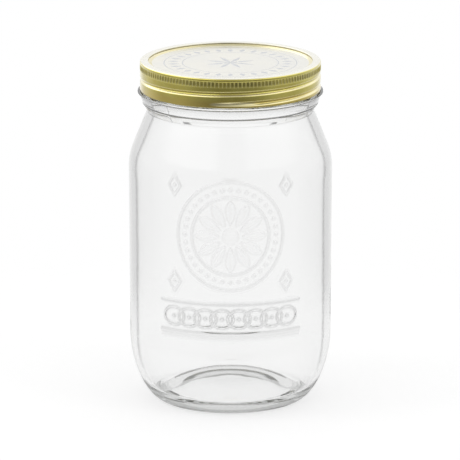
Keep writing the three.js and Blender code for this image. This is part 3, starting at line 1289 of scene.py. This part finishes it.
@dataclass
class ScrewBand:
    """The band: a flange over the disc, a knurled grip, a rolled thread and a hemmed lower edge."""

    closure: Closure
    finish: GoldLacquer
    corner: float = 0.8 * MM
    hem: float = 0.65 * MM
    hem_height: float = 0.8 * MM
    ribs: int = 148
    rib_width: float = 0.85 * MM
    rib_height: float = 0.26 * MM
    rib_end: float = 0.5 * MM
    rib_sides: int = 8
    rib_rings: int = 6
    run_in: float = 0.45 * MM
    run_out: float = 1.0 * MM
    edge: float = 0.2 * MM
    edge_gap: float = 0.05 * MM
    softness: float = 0.16 * MM
    thread_step: float = 0.3 * MM
    plain_step: float = 2 * MM
    bend: float = 16
    columns: int = 360

    def mesh(self) -> Mesh:
        """Builds the sheet metal shell of the band.

        Returns:
            The shell's mesh.
        """
        shared = self.closure
        outer, bore, sheet = shared.band_radius, shared.bore, shared.sheet
        low, top = shared.skirt_bottom, shared.band_top
        knurl_low, knurl_top = shared.knurl_bottom, shared.knurl_bottom + shared.knurl_height
        hem_top = low + self.hem_height
        soft = self.hem / 2
        sunk = outer - self.rib_height
        turned = shared.flange_radius + self.edge
        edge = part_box("lid_disc")[1].z + self.edge_gap + self.edge
        start = [outer - self.hem, hem_top - soft]
        corner = (outer - self.corner, top - self.corner)
        inner = self.corner - sheet
        rows = np.vstack((
            [start],
            arc((outer - soft, low + soft), (soft, soft), 180, 360),
            [[outer, hem_top], [outer, knurl_low], [sunk, knurl_low + self.run_out]],
            [[sunk, knurl_top - self.run_in], [outer, knurl_top]],
            arc(corner, (self.corner, self.corner), 0, 90),
            arc((turned, top - self.edge), (self.edge, self.edge), 90, 180),
            arc((turned, edge), (self.edge, self.edge), 180, 360),
            [[turned + self.edge, top - sheet]],
            arc(corner, (inner, inner), 90, 0),
            [[bore, knurl_top], [sunk - sheet, knurl_top - self.run_in]],
            [[sunk - sheet, knurl_low + self.run_out], [bore, knurl_low]],
            [[bore, hem_top], start],
        ))
        rows = soften(rows, self.softness, True)
        zone = (rows[:, 1] > hem_top) & (rows[:, 1] < knurl_low)
        picked = pace(rows, np.where(zone, self.thread_step, self.plain_step), self.bend)
        radius, z = picked[:, :1], picked[:, 1:]
        angles = np.arange(self.columns) * TURN / self.columns
        walls = (z > hem_top) & (z < knurl_low)
        full = radius + shared.band_thread().shift(angles[None, :], z) * walls
        return turned_mesh("band_shell", full, picked[:, 1], angles, True)

    def rib_tree(self, gold: Material) -> NodeTree:
        """Builds the node tree that sets rounded ribs round the band.

        Args:
            gold: The ribs' material.

        Returns:
            The tree, with inputs for the number and sizes of the ribs.
        """
        tree = bpy.data.node_groups.new("knurl_ribs", "GeometryNodeTree")
        sizes = ("Radius", "Rib Width", "Rib Height", "Rib End", "Rib Length", "Middle")
        tree.interface.new_socket("Geometry", in_out="INPUT", socket_type="NodeSocketGeometry")
        tree.interface.new_socket("Ribs", in_out="INPUT", socket_type="NodeSocketInt")
        for name in sizes:
            tree.interface.new_socket(name, in_out="INPUT", socket_type="NodeSocketFloat")
        tree.interface.new_socket("Geometry", in_out="OUTPUT", socket_type="NodeSocketGeometry")
        graph = Graph(tree)
        given = graph.node("NodeGroupInput").outputs
        size = {name: Field(graph, given[name]) for name in (*sizes, "Ribs")}
        ball = graph.node("GeometryNodeMeshUVSphere", inputs={
            "Segments": self.rib_sides, "Rings": self.rib_rings, "Radius": 1.0,
        })
        x, y, z = graph.axes(graph.node("GeometryNodeInputPosition").outputs[0])
        straight = z.sign() * (size["Rib Length"] / 2 - size["Rib End"])
        shaped = graph.vector(
            x * size["Rib Height"], y * size["Rib Width"] / 2, z * size["Rib End"] + straight
        )
        rib = graph.node("GeometryNodeSetPosition", inputs={"Geometry": ball.outputs[0], "Position": shaped})
        smooth = graph.node("GeometryNodeSetShadeSmooth", inputs={"Geometry": rib.outputs[0]})
        circle = graph.node("GeometryNodeMeshCircle", inputs={
            "Vertices": size["Ribs"], "Radius": size["Radius"],
        })
        step = Field(graph, graph.node("GeometryNodeInputIndex").outputs[0]) / size["Ribs"] * TURN
        turn = graph.node("FunctionNodeEulerToRotation", inputs={0: graph.vector(0.0, 0.0, step)})
        set_round = graph.node("GeometryNodeInstanceOnPoints", inputs={
            "Points": circle.outputs[0], "Instance": smooth.outputs[0], "Rotation": turn.outputs[0],
        })
        lift = graph.node("GeometryNodeTransform", inputs={
            "Geometry": set_round.outputs[0], "Translation": graph.vector(0.0, 0.0, size["Middle"]),
        })
        real = graph.node("GeometryNodeRealizeInstances", inputs={"Geometry": lift.outputs[0]})
        dressed = graph.node("GeometryNodeSetMaterial", inputs={
            "Geometry": real.outputs[0], "Material": gold,
        })
        graph.node("NodeGroupOutput", inputs={0: dressed.outputs[0]})
        return tree

    def rib_mesh(self, gold: Material) -> Mesh:
        """Runs the ribs' node tree.

        Args:
            gold: The ribs' material.

        Returns:
            A plain mesh of all the ribs.
        """
        shared = self.closure
        values = {
            "Ribs": self.ribs,
            "Radius": shared.band_radius - self.rib_height,
            "Rib Width": self.rib_width,
            "Rib Height": self.rib_height,
            "Rib End": self.rib_end,
            "Rib Length": shared.knurl_height,
            "Middle": shared.knurl_bottom + shared.knurl_height / 2,
        }
        carrier = bpy.data.objects.new("knurl_carrier", bpy.data.meshes.new("knurl_carrier"))
        bpy.context.scene.collection.objects.link(carrier)
        ribs = carrier.modifiers.new("knurl_ribs", "NODES")
        ribs.node_group = self.rib_tree(gold)
        for socket in ribs.node_group.interface.items_tree:
            if socket.in_out == "INPUT" and socket.name in values:
                ribs[socket.identifier] = values[socket.name]
        graph = bpy.context.evaluated_depsgraph_get()
        made = bpy.data.meshes.new_from_object(carrier.evaluated_get(graph))
        made.name = "band_knurl"
        carrier.modifiers.remove(ribs)
        bpy.data.objects.remove(carrier)
        return made

    def build(self) -> None:
        """Builds the band and its knurl and dresses them."""
        gold = self.finish.make()
        piece(self.mesh(), gold, Body.BAND, "screw_band")
        piece(self.rib_mesh(gold), gold, Body.BAND, None)


@dataclass
class Studio:
    """Pale table, white surroundings, soft lamps and the camera."""

    elevation: float = 13.9
    distance: float = 3.0
    target: Vector = field(default_factory=lambda: Vector((-0.0002, 0.0, 0.0842)))
    lens: float = 476.6
    sensor: float = 36.0
    sight: float = 50.0
    table_radius: float = 0.3
    table_sides: int = 96
    table_drop: float = 0.1 * MM
    table_colour: Colour = (0.90, 0.90, 0.90, 1.0)
    table_white: float = 0.62
    table_fade: Pair = (0.1, 0.29)
    table_seen: float = 0.94
    table_glow: float = 1.13
    ambient: float = 0.85
    front: float = 0.26
    side: float = 0.6
    side_wall: Pair = (-1.0, -0.3)
    back_wall: Pair = (0.0, 0.7)
    under: float = 0.75
    under_edge: Pair = (-0.15, 0.1)
    back_middle: Pair = (0.75, 0.95)
    overhead: float = 0.2
    softbox: float = 0.75
    box_foot: Pair = (0.25, 0.4)
    box_top: Pair = (0.85, 0.95)
    left_box: Pair = (-0.35, -0.15)
    right_box: Pair = (0.2, 0.4)
    right_depth: Pair = (0.1, 0.4)
    right_share: float = 0.65
    ceiling: float = 0.3
    ceiling_edge: Pair = (0.2, 0.4)
    turned_back: float = 0.72
    bounces: int = 48

    def rays(self, graph: Graph, kind: str) -> Field:
        """Returns one of Light Path's values: a count, or 1 for the rays of one kind and 0 for others."""
        return Field(graph, graph.node("ShaderNodeLightPath").outputs[kind])

    def table(self) -> None:
        """Builds the pale table top, which keeps the jar's shadow."""
        mesh = bpy.data.meshes.new("table_top")
        angles = np.arange(self.table_sides) * TURN / self.table_sides
        edge = np.column_stack((np.cos(angles), np.sin(angles))) * self.table_radius
        mesh.from_pydata([(x, y, -self.table_drop) for x, y in edge.tolist()], [], [list(range(len(edge)))])
        made, graph = material("table_top")
        camera = self.rays(graph, "Is Camera Ray")
        passing = self.rays(graph, "Is Transmission Ray")
        far = graph.radius(graph.place()).rise(*self.table_fade)
        glow = camera * self.table_glow + passing
        matt = graph.node("ShaderNodeBsdfDiffuse", inputs={"Color": self.table_colour})
        white = graph.node("ShaderNodeEmission", inputs={"Color": WHITE, "Strength": glow})
        both = graph.node("ShaderNodeMixShader", inputs={
            0: camera * self.table_white + passing * self.table_seen,
            1: matt.outputs[0],
            2: white.outputs[0],
        })
        clear = graph.node("ShaderNodeBsdfTransparent")
        faded = graph.node("ShaderNodeMixShader", inputs={0: far, 1: both.outputs[0], 2: clear.outputs[0]})
        graph.node("ShaderNodeOutputMaterial", inputs={"Surface": faded.outputs[0]})
        mesh.materials.append(made)
        top = bpy.data.objects.new("table_top", mesh)
        bpy.context.scene.collection.objects.link(top)

    def surroundings(self) -> None:
        """Sets white walls, a dimmer room with soft boxes for reflections, and grey for turned-back rays."""
        world = bpy.data.worlds.new("studio")
        bpy.context.scene.world = world
        world.use_nodes = True
        graph = Graph(world.node_tree)
        x, y, z = graph.axes(graph.node("ShaderNodeTexCoord").outputs["Generated"])
        sides = y.rise(*self.side_wall).span(self.front, self.side)
        level = sides + (1 - self.side) * y.rise(*self.back_wall)
        low = level * z.rise(*self.under_edge).most(y.rise(*self.back_middle)).span(self.under, 1.0)
        box = z.rise(*self.box_foot) * z.fall(*self.box_top)
        left = x.fall(*self.left_box) * box
        right = x.rise(*self.right_box) * y.fall(*self.right_depth) * box
        mirrored = low + self.overhead * box + self.softbox * (left + self.right_share * right)
        # The counts differ by 1 for a ray that only passed through glass, by 2 after one reflection in it.
        counts = self.rays(graph, "Ray Depth") - self.rays(graph, "Transmission Depth")
        straight = counts.fall(1.0, 2.0)
        walls = z.rise(*self.ceiling_edge).span(1.0, self.ceiling)
        through = straight * walls + (1 - straight) * self.turned_back
        camera = self.rays(graph, "Is Camera Ray")
        passing = self.rays(graph, "Is Transmission Ray")
        glossy = self.rays(graph, "Is Glossy Ray") * (1 - passing)
        other = 1 - camera - passing - glossy
        strength = camera + glossy * mirrored + passing * through + other * self.ambient
        back = graph.node("ShaderNodeBackground", inputs={"Color": WHITE, "Strength": strength})
        graph.node("ShaderNodeOutputWorld", inputs={"Surface": back.outputs[0]})

    def lamp(self, name: str, place: tuple[float, float, float], side: float, power: float) -> None:
        """Adds a square soft lamp that faces the jar.

        Args:
            name: The lamp's name.
            place: Where it stands.
            side: Its width.
            power: Its power in watts.
        """
        light = bpy.data.lights.new(name, "AREA")
        light.size = side
        light.energy = power
        made = bpy.data.objects.new(name, light)
        made.location = place
        made.rotation_euler = (self.target - Vector(place)).to_track_quat("-Z", "Y").to_euler()
        made.visible_glossy = False
        made.visible_transmission = False
        bpy.context.scene.collection.objects.link(made)

    def camera(self) -> None:
        """Sets the camera at the photograph's angle."""
        lens = bpy.data.cameras.new("camera")
        lens.sensor_width = self.sensor
        lens.lens = self.lens
        lens.clip_end = self.sight
        made = bpy.data.objects.new("camera", lens)
        slope = math.radians(self.elevation)
        away = Vector((0, -math.cos(slope), math.sin(slope))) * self.distance
        made.location = self.target + away
        made.rotation_euler = (-away).to_track_quat("-Z", "Y").to_euler()
        bpy.context.scene.collection.objects.link(made)
        bpy.context.scene.camera = made

    def build(self) -> None:
        """Builds the whole studio."""
        self.table()
        self.surroundings()
        self.lamp("key_lamp", place=(0.98, -0.69, 0.80), side=0.5, power=2.2)
        self.lamp("side_lamp", place=(-1.16, -0.31, 0.95), side=0.6, power=2.8)
        self.camera()
        scene = bpy.context.scene
        scene.view_settings.view_transform = "Standard"
        scene.cycles.max_bounces = self.bounces
        scene.cycles.transmission_bounces = self.bounces
        scene.cycles.glossy_bounces = self.bounces


def main() -> None:
    """Builds the jar, its closure and the studio."""
    logging.basicConfig(level=logging.INFO, format="%(name)s: %(message)s")
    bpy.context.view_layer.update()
    shared = Closure.from_frame()
    GlassJar(shared, ClearGlass()).build()
    SealedDisc(shared, PrintedLacquer(), SoftCompound()).build()
    ScrewBand(shared, GoldLacquer()).build()
    Studio().build()


if __name__ == "__main__":
    main()
